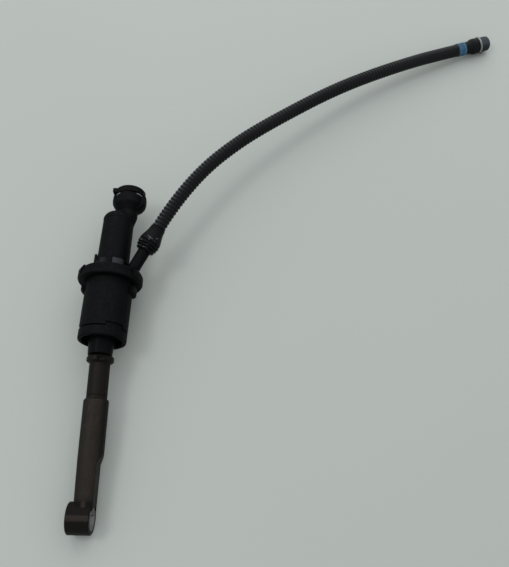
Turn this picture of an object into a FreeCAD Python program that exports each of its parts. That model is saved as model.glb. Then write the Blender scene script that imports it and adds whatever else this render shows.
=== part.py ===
import FreeCAD
import Part
import math
import os
from FreeCAD import Vector

# Clutch master cylinder with its push rod, outlet socket and reservoir hose.
# Millimetres. The cylinder axis is +Y through the origin, the pedal is towards -Y,
# and +Z is up. The origin is on the face of the flange that meets the bulkhead.
# The part lies on a table: its flange, the eye of the rod and the hose end touch it.

# Housing: flange with its stepped rim, two ears, the snap collar and the spigot
FLANGE_R = 28.2
FLANGE_T = 5.5
FLANGE_EDGE = 0.9
SEAM_R = 26.0
SEAM_WIDTH = 0.5
STEP_R = 26.8
STEP_END = 10.4
EAR_R = 29.0
EAR_INNER_R = 25.4
EAR_HALF_ANGLE = 36.0
EAR_START = 1.6
EAR_SHOULDER = 8.0
EAR_END = 12.4
EAR_END_R = 26.6
SEAT_FACE = 5.2
COLLAR_R = 15.9
COLLAR_BASE_R = 16.6
COLLAR_BASE_END = 12.0
COLLAR_END = 20.5
COLLAR_BORE_R = 14.8
LATCH_REACH = 16.4
LATCH_LOW = -3.5
LATCH_HIGH = 5.0
LATCH_END = 28.0
PAD_START = 13.4
PAD_RISE_R = 15.75
PAD_SIZES = ((25.0, 5.0), (-20.0, 3.4))
SLOT_WIDTH = 1.5
SLOT_DEPTH = 0.8
HOUSING_R = 21.1
HOUSING_LENGTH = 54.8
HOUSING_BORE_STEP = 0.9
WEB_T = 7.2
LUG_RISE = 3.5
LUG_START = 3.4
LUG_LENGTH = 6.5
LUG_HALF_ANGLE = 18.0
LUG_RAMP = 1.8

# Ring that closes the mouth of the housing
RING_LENGTH = 8.2
RING_GROOVE = 1.4
RING_SPIGOT = 2.4
RING_LIP = 1.5
RING_THROAT_WALL = 1.7
RING_SEAT_WALL = 1.9
TAB_COUNT = 3
TAB_FIRST_ANGLE = 50.0
TAB_HALF_ANGLE = 23.0
TAB_LENGTH = 2.4
TAB_SINK = 0.9
TAB_GAP = 0.5
STOP_T = 1.4
STOP_RING_WIDTH = 2.2

# Pressure cylinder
TUBE_BASE_R = 14.75
TUBE_TOP_R = 14.1
DOME_START = 63.5
DOME_END = 72.5
DOME_FLAT_R = 7.6
CHAMBER_R = 10.4
CHAMBER_END = 68.0
SEAL_POCKET_R = 12.6
SEAL_POCKET_DEPTH = 14.3

# Outlet neck and socket for the pressure pipe
OUTLET_X = 7.8
NECK_R = 8.9
NECK_FOOT_X = 5.0
NECK_FOOT_Y = 59.5
NECK_BEND_Y = 70.0
CONE_START = 75.0
CONE_END = 81.6
SOCKET_R = 13.5
CLIP_GROOVE_START = 89.9
CLIP_GROOVE_WIDTH = 1.9
CLIP_GROOVE_R = 11.7
SOCKET_END = 98.5
LIP_R = 13.9
LIP_EDGE = 1.2
GUARD_OUTLINE = ((76.4, 9.8), (79.0, 13.2), (82.5, 15.4), (85.5, 15.9), (91.0, 15.7), (94.2, 14.2))
GUARD_HALF_HEIGHT = 6.5
LIP_TAB_REACH = 15.6
LIP_TAB_START = 93.4
LIP_TAB_LOW = 2.0
LIP_TAB_HIGH = 8.2
LIP_BUMP_R = 14.5
PIPE_BORE_R = 7.0
PIPE_BORE_DEPTH = 12.4
PIPE_TIP_R = 5.2
PIPE_TIP_DEPTH = 16.6
PASSAGE_R = 1.9
ORING_WIRE_R = 1.0
ORING_BED_DEPTH = 2.1

# Wire clip in the socket
WIRE_R = 0.8
CLIP_R = 12.6
CLIP_LIFT = 5.0
CLIP_TIP = 7.1
CLIP_DROP = 1.2
CLIP_SLOT_PLAY = 0.35

# Plunger, seals and return spring
BORE_R = 9.525
PLUNGER_PLAY = 0.075
STROKE = 30.0
PLUNGER_NOSE = 21.0
PLUNGER_TAIL = -33.0
SPRING_WELL_R = 7.0
SPRING_WELL_END = -28.0
NOSE_SLOT_COUNT = 6
NOSE_SLOT_WIDTH = 1.2
NOSE_SLOT_LENGTH = 4.5
SEAL_T = 4.5
SEAL_GROOVE = 1.3
INLET_HOLE_R = 1.6
INLET_HOLE_COUNT = 6
SPRING_WIRE_R = 0.65
SPRING_R = 5.9
SPRING_TURNS = 9
SEAT_T = 1.5
SEAT_PEG_R = 4.4
SEAT_PEG_LENGTH = 5.0

# Guide skirt with the ball socket of the push rod
BALL_Y = -45.5
BALL_R = 6.0
BALL_PLAY = 0.3
COLLET_T = 1.4
COLLET_OPEN_ANGLE = 51.0
COLLET_FRONT_R = 3.0
COLLET_SLIT = 1.0
DISC_PLAY = 0.1
DISC_T = 3.0
DISC_HOLE_R = 2.0
DISC_HOLE_COUNT = 6
DISC_HOLE_INSET = 2.5
SKIRT_R = 11.6
SKIRT_END_R = 10.4
SKIRT_TAPER_START = -52.0
SKIRT_DOME_R = 23.9
SKIRT_BORE_R = 8.6
RETAINER_R = 8.55
RETAINER_NECK_R = 6.0
RETAINER_MOUTH_R = 7.4

# Push rod, measured along its own axis from the centre of the ball
EYE_R = 12.9
EYE_LEFT = 13.2
EYE_RIGHT = 6.1
EYE_SEAT_R = 9.3
ROD_LENGTH = 154.4
ROD_YAW = 1.0
STEM_R = 4.0
CUP_GAP = 0.45
COLLAR_LIP_R = 10.7
ROD_COLLAR_R = 11.7
ROD_COLLAR_END = 26.4
ROD_NECK_R = 8.9
ROD_GROOVE_U = 55.5
ROD_GROOVE_W = 0.9
ROD_GROOVE_DEPTH = 0.5
ROD_SHOULDER_U = 58.6
ROD_SHOULDER_LENGTH = 2.8
ROD_BODY_R = 10.7
ROD_TAPER_U = 108.0
ROD_END_R = 9.9
CUT_START_U = 103.6
CUT_END_U = 112.0
CUT_X = 7.1
NOTCH_U = 23.9
NOTCH_X = 3.5
NOTCH_WIDTH = 7.0
NOTCH_LENGTH = 2.8
NOTCH_DEPTH = 1.5
BUSH_PIN_R = 6.05
BUSH_SLIT = 0.9
BUSH_SLIT_COUNT = 4

# Inlet tube, its grommet and the rubber boot, measured along the tube from P0
INLET_POINT = Vector(20.8, 15.4, 5.0)
INLET_DIRECTION = Vector(0.439, 0.888, 0.136)
BOSS_R = 7.6
BOSS_START = -9.0
BOSS_END = -3.2
TUBE_R = 5.65
TUBE_WALL = 1.7
TUBE_START = -4.6
GROMMET_R = 6.9
GROMMET_LIP_R = 7.4
GROMMET_LIP_T = 1.0
BOOT_START = 17.9
BOOT_END = 43.0
BOOT_FIT = 0.05
BOOT_OUTLINE = (
    (17.9, 6.6), (18.5, 8.0), (19.2, 8.6), (20.2, 8.5), (20.7, 7.8), (21.3, 9.1), (22.0, 9.7),
    (23.0, 9.6), (23.5, 8.8), (24.1, 9.8), (25.0, 10.3), (26.2, 10.2), (26.8, 9.3), (27.5, 9.9),
    (28.5, 10.1), (31.0, 9.6), (35.0, 8.3), (39.0, 7.3), (43.0, 6.9),
)

# Reservoir hose, from the boot to its end fitting
HOSE_R = 6.5
HOSE_BORE_R = 4.7
HOSE_ROUTE = [
    (39.68, 53.58, 10.85),
    (50.5, 75.5, 14.2),
    (77.7, 117.2, 16.4),
    (111.1, 152.8, 14.6),
    (147.7, 184.6, 10.0),
    (196.5, 223.6, 3.6),
    (239.6, 253.7, -4.2),
    (290.2, 282.5, -11.2),
    (328.9, 301.4, -17.05),
    (350.6, 310.2, -18.42),
]
TAPE_R = 6.9
TAPE_LENGTH = 8.8
TAPE_BACK = 3.4
CUFF_OUTLINE = ((0, 6.6), (2.2, 6.7), (4.2, 7.5), (6.2, 8.2), (8.6, 8.4), (11.0, 8.1), (13.0, 7.6))
CUFF_LENGTH = 13.0
CRIMP_R = 8.9
CRIMP_T = 2.0
CRIMP_LIP = 0.6
PLUG_R = 7.7
PLUG_LENGTH = 11.0
PLUG_STEM_R = 5.0
PLUG_STEM_LENGTH = 8.0
PLUG_EDGE = 2.6
PLUG_TAB_REACH = 9.2
PLUG_TAB_WIDTH = 4.0
PLUG_TAB_T = 1.6

# Heights and places that follow from the sizes above
ORIGIN = Vector(0, 0, 0)
Y_AXIS = Vector(0, 1, 0)
LUG_R = HOUSING_R + LUG_RISE
RING_SEAT_R = HOUSING_R - RING_SEAT_WALL
RING_THROAT_R = RING_SEAT_R - RING_THROAT_WALL
STOP_HOLE_R = RING_SEAT_R - STOP_RING_WIDTH
TAB_R = HOUSING_R - TAB_SINK
HOUSING_BORE_R = RING_SEAT_R - HOUSING_BORE_STEP
DISC_R = HOUSING_BORE_R - DISC_PLAY
DISC_HOLE_CIRCLE_R = DISC_R - DISC_HOLE_INSET
MOUTH_Y = -HOUSING_LENGTH
RING_FRONT = MOUTH_Y + RING_LENGTH
HOUSING_END = RING_FRONT + RING_GROOVE
STOP_FRONT = RING_FRONT + RING_SPIGOT
DISC_BACK = STOP_FRONT + STOP_T
GUIDE_FRONT = SEAT_FACE - WEB_T
SEAL_POCKET_END = SEAT_FACE + SEAL_POCKET_DEPTH
SLIDE_R = BORE_R + PLUNGER_PLAY
BALL = Vector(0, BALL_Y, 0)
ROD_TILT = math.degrees(math.asin((FLANGE_R - EYE_R) / ROD_LENGTH))
COLLET_IN_R = BALL_R + BALL_PLAY
COLLET_OUT_R = COLLET_IN_R + COLLET_T
SOCKET_BALL_R = COLLET_OUT_R + BALL_PLAY
GROOVE_MIDDLE = CLIP_GROOVE_START + CLIP_GROOVE_WIDTH / 2


def turned(outline):
    """Solid of revolution about +Y. A point is (y, r), an arc ends as (y_mid, r_mid, y, r)."""
    points = [Vector(p[-1], p[-2], 0) for p in outline]
    edges = []
    for i, entry in enumerate(outline):
        start = points[i - 1]
        if len(entry) == 4:
            middle = Vector(entry[1], entry[0], 0)
            edges.append(Part.Arc(start, middle, points[i]).toShape())
        elif start.distanceToPoint(points[i]) > 1e-6:
            edges.append(Part.makeLine(start, points[i]))
    face = Part.Face(Part.Wire(Part.__sortEdges__(edges)))
    return face.revolve(ORIGIN, Y_AXIS, 360)


def rod(radius, y0, y1, x=0.0, z=0.0):
    return Part.makeCylinder(radius, y1 - y0, Vector(x, y0, z), Y_AXIS)


def block(x0, x1, y0, y1, z0, z1):
    return Part.makeBox(x1 - x0, y1 - y0, z1 - z0, Vector(x0, y0, z0))


def turn(shape, degrees, x=0.0):
    copy = shape.copy()
    copy.rotate(Vector(x, 0, 0), Y_AXIS, degrees)
    return copy


def spread(shape, count, first=0.0):
    return [turn(shape, first + i * 360.0 / count) for i in range(count)]


def sector(inner, outer, y0, y1, middle, half_angle, x=0.0):
    """Part of a ring about +Y, centred on an angle counted from +X towards +Z."""
    wedge = Part.makeCylinder(outer, y1 - y0, Vector(0, y0, 0), Y_AXIS, 2 * half_angle)
    wedge.rotate(ORIGIN, Y_AXIS, -sector_offset(wedge) - middle)
    ring = wedge.cut(rod(inner, y0 - 1, y1 + 1))
    ring.translate(Vector(x, 0, 0))
    return ring


def sector_offset(wedge):
    """Angle, about +Y, from +X to the middle of a wedge as it was made."""
    middle = wedge.CenterOfMass
    return math.degrees(math.atan2(-middle.z, middle.x))


def ball(radius):
    """Sphere about the ball joint's centre, with its poles on the cylinder axis."""
    return Part.makeSphere(radius, BALL, Y_AXIS)


def torus(ring_radius, wire_radius, y, x=0.0):
    return Part.makeTorus(ring_radius, wire_radius, Vector(x, y, 0), Y_AXIS)


def along(shape, start, direction):
    """Move what was built on +Y from y = 0 to a start and a direction."""
    copy = shape.copy()
    copy.Placement = FreeCAD.Placement(start, FreeCAD.Rotation(Y_AXIS, direction)).multiply(copy.Placement)
    return copy


def fused(shapes):
    return shapes[0].multiFuse(shapes[1:]).removeSplitter()


def outer_housing():
    shell = turned([
        (GUIDE_FRONT, SLIDE_R),
        (GUIDE_FRONT, HOUSING_BORE_R),
        (DISC_BACK, HOUSING_BORE_R),
        (DISC_BACK, RING_SEAT_R),
        (HOUSING_END, RING_SEAT_R),
        (HOUSING_END, HOUSING_R),
        (0, HOUSING_R),
        (0, FLANGE_R - FLANGE_EDGE),
        (FLANGE_EDGE, FLANGE_R),
        (FLANGE_T, FLANGE_R),
        (FLANGE_T, SEAM_R),
        (FLANGE_T + SEAM_WIDTH, SEAM_R),
        (FLANGE_T + SEAM_WIDTH, STEP_R),
        (STEP_END - 0.7, STEP_R),
        (STEP_END, STEP_R - 0.7),
        (STEP_END, COLLAR_BASE_R),
        (COLLAR_BASE_END, COLLAR_BASE_R),
        (COLLAR_BASE_END, COLLAR_R),
        (COLLAR_END - 0.6, COLLAR_R),
        (COLLAR_END, COLLAR_R - 0.6),
        (COLLAR_END, COLLAR_BORE_R - 0.5),
        (SEAT_FACE, COLLAR_BORE_R - 0.5),
        (SEAT_FACE, SLIDE_R),
    ])
    added = [shell, inlet_boss(), latch_tongue()] + collar_pads()
    for middle in (0, 180):
        added.append(flange_ear(middle))
        added.append(bayonet_lug(middle))
    body = fused(added)
    notches = [tab_shape(middle, TAB_GAP) for middle in tab_angles()]
    opening = rod(COLLAR_BORE_R, SEAT_FACE, LATCH_END + 10)
    return body.cut(Part.makeCompound(notches + [opening])).cut(Part.makeCompound(inlet_voids()))


def flange_ear(middle):
    """Raised ear on one side of the flange, with sloping corners at its far end."""
    ring = turned([
        (EAR_START, EAR_INNER_R),
        (EAR_START, EAR_R - FLANGE_EDGE),
        (EAR_START + FLANGE_EDGE, EAR_R),
        (EAR_SHOULDER, EAR_R),
        (EAR_END - 1.2, EAR_END_R + 0.6),
        (EAR_END, EAR_END_R - 0.5),
        (EAR_END, EAR_INNER_R),
    ])
    return ring.common(sector(EAR_INNER_R - 1, EAR_R + 1, 0, EAR_END + 1, middle, EAR_HALF_ANGLE))


def inlet_boss():
    """Boss on the flange that holds the inlet tube."""
    boss = along(rod(BOSS_R, BOSS_START, BOSS_END), INLET_POINT, INLET_DIRECTION)
    return boss.cut(block(-60, 60, -20, FLANGE_T + SEAM_WIDTH, -60, 60))


def latch_tongue():
    return block(-LATCH_REACH, -COLLAR_BORE_R + 3, STEP_END - 1, LATCH_END, LATCH_LOW, LATCH_HIGH)


def collar_pads():
    """Flat pads on top of the snap collar, each given by its angle from +Z and half width."""
    pads = []
    for angle, half in PAD_SIZES:
        pad = block(COLLAR_BORE_R - 1, PAD_RISE_R, PAD_START, COLLAR_END, -half, half)
        pads.append(turn(pad, angle - 90))
    return pads


def bayonet_lug(middle):
    """Lug that locks the spigot in the bulkhead, with a ramp at the end that enters first."""
    lug = sector(HOUSING_R - 1, LUG_R, -LUG_START - LUG_LENGTH, -LUG_START, middle, LUG_HALF_ANGLE)
    far = LUG_R + 2
    ramp = turned([
        (-LUG_START - LUG_LENGTH - 1, LUG_R - LUG_RAMP - 1),
        (-LUG_START - LUG_LENGTH - 1, far),
        (-LUG_START - LUG_LENGTH + LUG_RAMP + 2, far),
    ])
    return lug.cut(ramp)


def tab_angles():
    return [TAB_FIRST_ANGLE + i * 360.0 / TAB_COUNT for i in range(TAB_COUNT)]


def tab_shape(middle, gap):
    """Snap tab of the mouth ring. With a gap it is the notch that the tab lies in."""
    outer = HOUSING_R + 1 if gap else TAB_R
    inner = RING_SEAT_R if gap else RING_SEAT_R - BOOT_FIT
    half = TAB_HALF_ANGLE + math.degrees(gap / HOUSING_R)
    return sector(inner, outer, RING_FRONT, HOUSING_END + TAB_LENGTH + gap, middle, half)


def mouth_ring():
    corner = RING_LIP * 0.293
    seat = RING_SEAT_R - BOOT_FIT
    ring = turned([
        (MOUTH_Y + corner, RING_THROAT_R + corner, MOUTH_Y + RING_LIP, RING_THROAT_R),
        (STOP_FRONT, RING_THROAT_R),
        (STOP_FRONT, seat),
        (RING_FRONT, seat),
        (RING_FRONT, HOUSING_R),
        (MOUTH_Y + RING_LIP, HOUSING_R),
        (MOUTH_Y + corner, HOUSING_R - corner, MOUTH_Y, HOUSING_R - RING_LIP),
        (MOUTH_Y, RING_THROAT_R + RING_LIP),
    ])
    return fused([ring] + [tab_shape(middle, 0.0) for middle in tab_angles()])


def stop_ring():
    ring = turned([
        (STOP_FRONT, STOP_HOLE_R),
        (DISC_BACK, STOP_HOLE_R),
        (DISC_BACK, RING_SEAT_R - BOOT_FIT),
        (STOP_FRONT, RING_SEAT_R - BOOT_FIT),
    ])
    gap = block(-1.5, 1.5, STOP_FRONT - 1, DISC_BACK + 1, -RING_SEAT_R - 1, -STOP_HOLE_R + 1)
    return ring.cut(gap)


def pressure_cylinder():
    tube = turned([
        (SEAT_FACE, 0),
        (SEAT_FACE, TUBE_BASE_R - 0.4),
        (SEAT_FACE + 0.4, TUBE_BASE_R),
        (DOME_START, TUBE_TOP_R),
        (DOME_END - 2.3, 12.3, DOME_END, DOME_FLAT_R),
        (DOME_END, 0),
    ])
    body = fused([tube] + socket_solids())
    return body.cut(Part.makeCompound(socket_voids() + [chamber()])).cut(Part.makeCompound(inlet_voids()))


def socket_solids():
    foot = Part.Wire(Part.makeCircle(NECK_R, Vector(NECK_FOOT_X, NECK_FOOT_Y, 0), Y_AXIS))
    bend = Part.Wire(Part.makeCircle(NECK_R, Vector(OUTLET_X, NECK_BEND_Y, 0), Y_AXIS))
    neck = Part.makeLoft([foot, bend], True, True)
    shell = turned([
        (NECK_BEND_Y, 0),
        (NECK_BEND_Y, NECK_R),
        (CONE_START, NECK_R),
        (CONE_END - 0.5, SOCKET_R - 0.5),
        (CONE_END + 0.4, SOCKET_R),
        (CLIP_GROOVE_START, SOCKET_R),
        (CLIP_GROOVE_START + CLIP_GROOVE_WIDTH, LIP_R),
        (SOCKET_END - LIP_EDGE, LIP_R),
        (SOCKET_END, LIP_R - LIP_EDGE),
        (SOCKET_END, 0),
    ])
    shell.translate(Vector(OUTLET_X, 0, 0))
    first, last = GUARD_OUTLINE[0][0], GUARD_OUTLINE[-1][0]
    guard = turned([(first, 0)] + list(GUARD_OUTLINE) + [(last, 0)])
    guard = guard.common(block(-60, 60, first, last, -GUARD_HALF_HEIGHT, GUARD_HALF_HEIGHT))
    guard.translate(Vector(OUTLET_X, 0, 0))
    lip_start = CLIP_GROOVE_START + CLIP_GROOVE_WIDTH
    tab = block(OUTLET_X - LIP_TAB_REACH, OUTLET_X - PIPE_BORE_R - 2, LIP_TAB_START,
                SOCKET_END - LIP_EDGE, LIP_TAB_LOW, LIP_TAB_HIGH)
    bump = sector(SOCKET_R - 2, LIP_BUMP_R, lip_start, SOCKET_END - LIP_EDGE, 68, 12, OUTLET_X)
    return [neck, shell, guard, tab, bump]


def socket_voids():
    pipe = rod(PIPE_BORE_R, SOCKET_END - PIPE_BORE_DEPTH, SOCKET_END + 1, OUTLET_X)
    mouth = Part.makeCone(PIPE_BORE_R, PIPE_BORE_R + 1.2, 1.2, Vector(OUTLET_X, SOCKET_END - 1.2, 0), Y_AXIS)
    tip = rod(PIPE_TIP_R, SOCKET_END - PIPE_TIP_DEPTH, SOCKET_END, OUTLET_X)
    passage = rod(PASSAGE_R, CHAMBER_END - 6, SOCKET_END, OUTLET_X)
    bed = rod(PIPE_BORE_R + ORING_BED_DEPTH, oring_y() - ORING_WIRE_R - 0.1, oring_y() + ORING_WIRE_R + 0.1, OUTLET_X)
    groove = rod(GUARD_OUTLINE[3][1] + 2, CLIP_GROOVE_START, CLIP_GROOVE_START + CLIP_GROOVE_WIDTH, OUTLET_X)
    groove = groove.cut(rod(CLIP_GROOVE_R, CLIP_GROOVE_START - 1, SOCKET_END, OUTLET_X))
    half = WIRE_R + CLIP_SLOT_PLAY
    low = -CLIP_DROP - half
    high = CLIP_LIFT - CLIP_DROP + half
    slots = block(OUTLET_X - 20, OUTLET_X + 20, GROOVE_MIDDLE - half, GROOVE_MIDDLE + half, low, high)
    return [pipe, mouth, tip, passage, bed, groove, slots]


def oring_y():
    return SOCKET_END - PIPE_BORE_DEPTH + ORING_WIRE_R + 0.3


def chamber():
    return turned([
        (SEAT_FACE - 1, 0),
        (SEAT_FACE - 1, SEAL_POCKET_R),
        (SEAL_POCKET_END, SEAL_POCKET_R),
        (SEAL_POCKET_END, CHAMBER_R),
        (CHAMBER_END - 4, CHAMBER_R),
        (CHAMBER_END - 1.2, CHAMBER_R - 1.2, CHAMBER_END, CHAMBER_R - 4),
        (CHAMBER_END, 0),
    ])


def inlet_voids():
    """Bed of the inlet grommet and the feed hole from it to the seal spacer."""
    bed = along(rod(GROMMET_R + BOOT_FIT, TUBE_START - 0.6, BOSS_END + 1), INLET_POINT, INLET_DIRECTION)
    spacer_middle = SEAT_FACE + SEAL_POCKET_DEPTH / 2
    feed_end = INLET_POINT + INLET_DIRECTION * (TUBE_START + 1.0)
    feed_start = Vector(SEAL_POCKET_R - 2, spacer_middle, feed_end.z)
    feed = Part.makeCylinder(INLET_HOLE_R, (feed_end - feed_start).Length, feed_start, feed_end - feed_start)
    tube_way = along(rod(TUBE_R + BOOT_FIT, BOSS_END, BOSS_END + 12), INLET_POINT, INLET_DIRECTION)
    lip_way = along(rod(GROMMET_LIP_R + BOOT_FIT, BOSS_END, BOSS_END + 6), INLET_POINT, INLET_DIRECTION)
    return [bed, feed, tube_way, lip_way.cut(rod(COLLAR_BASE_R - BOOT_FIT, 0, COLLAR_END + 20))]


def seal(y0, lip_first):
    """Lip seal: a ring with a groove open to the side that holds the fluid."""
    y1 = y0 + SEAL_T
    ring = turned([
        (y0, SLIDE_R),
        (y1, SLIDE_R),
        (y1, SEAL_POCKET_R - BOOT_FIT),
        (y0, SEAL_POCKET_R - BOOT_FIT),
    ])
    middle = (SLIDE_R + SEAL_POCKET_R) / 2
    half = SEAL_GROOVE / 2
    face = y0 if lip_first else y1
    inside = y0 + SEAL_T * 0.55 if lip_first else y1 - SEAL_T * 0.55
    groove = turned([
        (face, middle - half),
        (inside, middle - half * 0.5),
        (inside, middle + half * 0.5),
        (face, middle + half),
    ])
    return ring.cut(groove)


def secondary_seal():
    return seal(SEAT_FACE, False)


def primary_seal():
    return seal(SEAL_POCKET_END - SEAL_T, False)


def seal_spacer():
    y0 = SEAT_FACE + SEAL_T
    y1 = SEAL_POCKET_END - SEAL_T
    middle = (y0 + y1) / 2
    ring = turned([
        (y0, SLIDE_R),
        (y1, SLIDE_R),
        (y1, SEAL_POCKET_R - BOOT_FIT),
        (middle + INLET_HOLE_R, SEAL_POCKET_R - BOOT_FIT),
        (middle + INLET_HOLE_R, SEAL_POCKET_R - 0.8),
        (middle - INLET_HOLE_R, SEAL_POCKET_R - 0.8),
        (middle - INLET_HOLE_R, SEAL_POCKET_R - BOOT_FIT),
        (y0, SEAL_POCKET_R - BOOT_FIT),
    ])
    hole = Part.makeCylinder(INLET_HOLE_R * 0.7, SEAL_POCKET_R, Vector(0, middle, 0), Vector(1, 0, 0))
    return ring.cut(Part.makeCompound(spread(hole, INLET_HOLE_COUNT, 15)))


def plunger():
    body = turned([
        (PLUNGER_TAIL, 0),
        (PLUNGER_TAIL, BORE_R),
        (PLUNGER_NOSE - 0.8, BORE_R),
        (PLUNGER_NOSE, BORE_R - 0.8),
        (PLUNGER_NOSE, SPRING_WELL_R + 0.6),
        (PLUNGER_NOSE - 1.5, SPRING_WELL_R),
        (SPRING_WELL_END, SPRING_WELL_R),
        (SPRING_WELL_END, 0),
    ])
    slot = block(SPRING_WELL_R - 1, BORE_R + 1, PLUNGER_NOSE - NOSE_SLOT_LENGTH, PLUNGER_NOSE + 1,
                 -NOSE_SLOT_WIDTH / 2, NOSE_SLOT_WIDTH / 2)
    return body.cut(Part.makeCompound(spread(slot, NOSE_SLOT_COUNT)))


def spring_seat():
    seat_r = SPRING_WELL_R - BOOT_FIT * 3
    top = SPRING_WELL_END + SEAT_T
    return turned([
        (SPRING_WELL_END, 0),
        (SPRING_WELL_END, seat_r),
        (top, seat_r),
        (top, SEAT_PEG_R),
        (top + SEAT_PEG_LENGTH - 1, SEAT_PEG_R),
        (top + SEAT_PEG_LENGTH, SEAT_PEG_R - 1),
        (top + SEAT_PEG_LENGTH, 0),
    ])


def return_spring():
    """Helix of round wire between the seat in the plunger and the end of the chamber."""
    low = SPRING_WELL_END + SEAT_T + SPRING_WIRE_R + 0.02
    high = CHAMBER_END - SPRING_WIRE_R - 0.02
    pitch = (high - low) / SPRING_TURNS
    helix = Part.makeHelix(pitch, high - low, SPRING_R)
    section = Part.Wire(Part.makeCircle(SPRING_WIRE_R, Vector(SPRING_R, 0, 0), Y_AXIS))
    coil = helix.makePipeShell([section], True, True)
    coil.rotate(ORIGIN, Vector(1, 0, 0), -90)
    coil.translate(Vector(0, low, 0))
    return coil


def guide_skirt():
    """Disc that runs in the housing bore, with the tail that holds the ball socket."""
    front = DISC_BACK + DISC_T
    rim = dome_y(SKIRT_END_R)
    mouth = dome_y(SKIRT_BORE_R)
    dome_middle_r = (SKIRT_END_R + SKIRT_BORE_R) / 2
    pocket_y = BALL_Y - 3
    outer = turned([
        (PLUNGER_TAIL, 0),
        (PLUNGER_TAIL, SKIRT_R),
        (front - 2, SKIRT_R),
        (front, SKIRT_R + 1.4),
        (front, DISC_R),
        (DISC_BACK, DISC_R),
        (DISC_BACK, SKIRT_R),
        (SKIRT_TAPER_START, SKIRT_R),
        (rim, SKIRT_END_R),
        (dome_y(dome_middle_r), dome_middle_r, mouth, SKIRT_BORE_R),
        (pocket_y, SKIRT_BORE_R),
        (pocket_y, 0),
    ])
    hole = rod(DISC_HOLE_R, DISC_BACK - 1, front + 1, DISC_HOLE_CIRCLE_R)
    return outer.cut(Part.makeCompound(spread(hole, DISC_HOLE_COUNT, 30))).cut(ball(SOCKET_BALL_R))


def dome_y(radius):
    """Place of the skirt's domed end, on a sphere about the ball, at a radius."""
    return BALL_Y - math.sqrt(SKIRT_DOME_R ** 2 - radius ** 2)


def ball_retainer():
    front = BALL_Y - 3
    mouth = dome_y(RETAINER_MOUTH_R) + 0.1
    edge = dome_y(RETAINER_R) + 0.1
    bush = turned([
        (front, 0),
        (front, RETAINER_R),
        (edge, RETAINER_R),
        (mouth, RETAINER_MOUTH_R),
        (BALL_Y - 14, RETAINER_NECK_R + 0.6),
        (BALL_Y - 4, RETAINER_NECK_R),
        (BALL_Y - 4, 0),
    ])
    return bush.cut(ball(SOCKET_BALL_R))


def ball_collet():
    """Split spherical shell round the ball."""
    far = COLLET_OUT_R + 2
    opening = Part.makeCone(0, far * math.tan(math.radians(COLLET_OPEN_ANGLE)), far, BALL, Vector(0, -1, 0))
    front = rod(COLLET_FRONT_R, BALL_Y, BALL_Y + far)
    slit = block(COLLET_IN_R - 4, far, BALL_Y - far, BALL_Y + 2, -COLLET_SLIT / 2, COLLET_SLIT / 2)
    shell = ball(COLLET_OUT_R).cut(ball(COLLET_IN_R)).cut(opening).cut(front)
    return shell.cut(Part.makeCompound(spread(slit, 4, 45)))


def rod_frame(shape):
    """Turn what was built along -Y from the ball to the way that the rod lies."""
    copy = shape.copy()
    copy.rotate(BALL, Vector(1, 0, 0), ROD_TILT)
    copy.rotate(BALL, Vector(0, 0, 1), ROD_YAW)
    return copy


def rod_y(u):
    return BALL_Y - u


def cup_y(radius):
    return BALL_Y - math.sqrt((SKIRT_DOME_R + CUP_GAP) ** 2 - radius ** 2)


def push_rod():
    cup_middle_r = (STEM_R + COLLAR_LIP_R) / 2
    shaft = turned([
        (BALL_Y, 0),
        (BALL_Y, STEM_R),
        (cup_y(STEM_R), STEM_R),
        (cup_y(cup_middle_r), cup_middle_r, cup_y(COLLAR_LIP_R), COLLAR_LIP_R),
        (cup_y(COLLAR_LIP_R) - 1.4, ROD_COLLAR_R),
        (rod_y(ROD_COLLAR_END), ROD_COLLAR_R),
        (rod_y(ROD_COLLAR_END + 2.0), ROD_NECK_R),
        (rod_y(ROD_GROOVE_U), ROD_NECK_R),
        (rod_y(ROD_GROOVE_U), ROD_NECK_R - ROD_GROOVE_DEPTH),
        (rod_y(ROD_GROOVE_U + ROD_GROOVE_W), ROD_NECK_R - ROD_GROOVE_DEPTH),
        (rod_y(ROD_GROOVE_U + ROD_GROOVE_W), ROD_NECK_R),
        (rod_y(ROD_SHOULDER_U), ROD_NECK_R),
        (rod_y(ROD_SHOULDER_U + 0.9), ROD_BODY_R - 0.5, rod_y(ROD_SHOULDER_U + ROD_SHOULDER_LENGTH), ROD_BODY_R),
        (rod_y(ROD_TAPER_U), ROD_BODY_R),
        (rod_y(ROD_LENGTH - EYE_R * 0.4), ROD_END_R),
        (rod_y(ROD_LENGTH - EYE_R * 0.4), 0),
    ])
    shank_cut = side_cut()
    notch = block(NOTCH_X - NOTCH_WIDTH / 2, NOTCH_X + NOTCH_WIDTH / 2, rod_y(NOTCH_U + NOTCH_LENGTH), rod_y(NOTCH_U),
                  ROD_COLLAR_R - NOTCH_DEPTH, ROD_COLLAR_R + 2)
    eye = Part.makeCylinder(EYE_R, EYE_LEFT + EYE_RIGHT, Vector(-EYE_LEFT, rod_y(ROD_LENGTH), 0), Vector(1, 0, 0))
    eye = eye.makeChamfer(0.6, [e for e in eye.Edges if e.Curve.TypeId == "Part::GeomCircle"])
    bore = Part.makeCylinder(EYE_SEAT_R, 60, Vector(-30, rod_y(ROD_LENGTH), 0), Vector(1, 0, 0))
    body = shaft.cut(Part.makeCompound([shank_cut, notch]))
    return rod_frame(fused([body, eye, ball(BALL_R)]).cut(bore))


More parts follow.
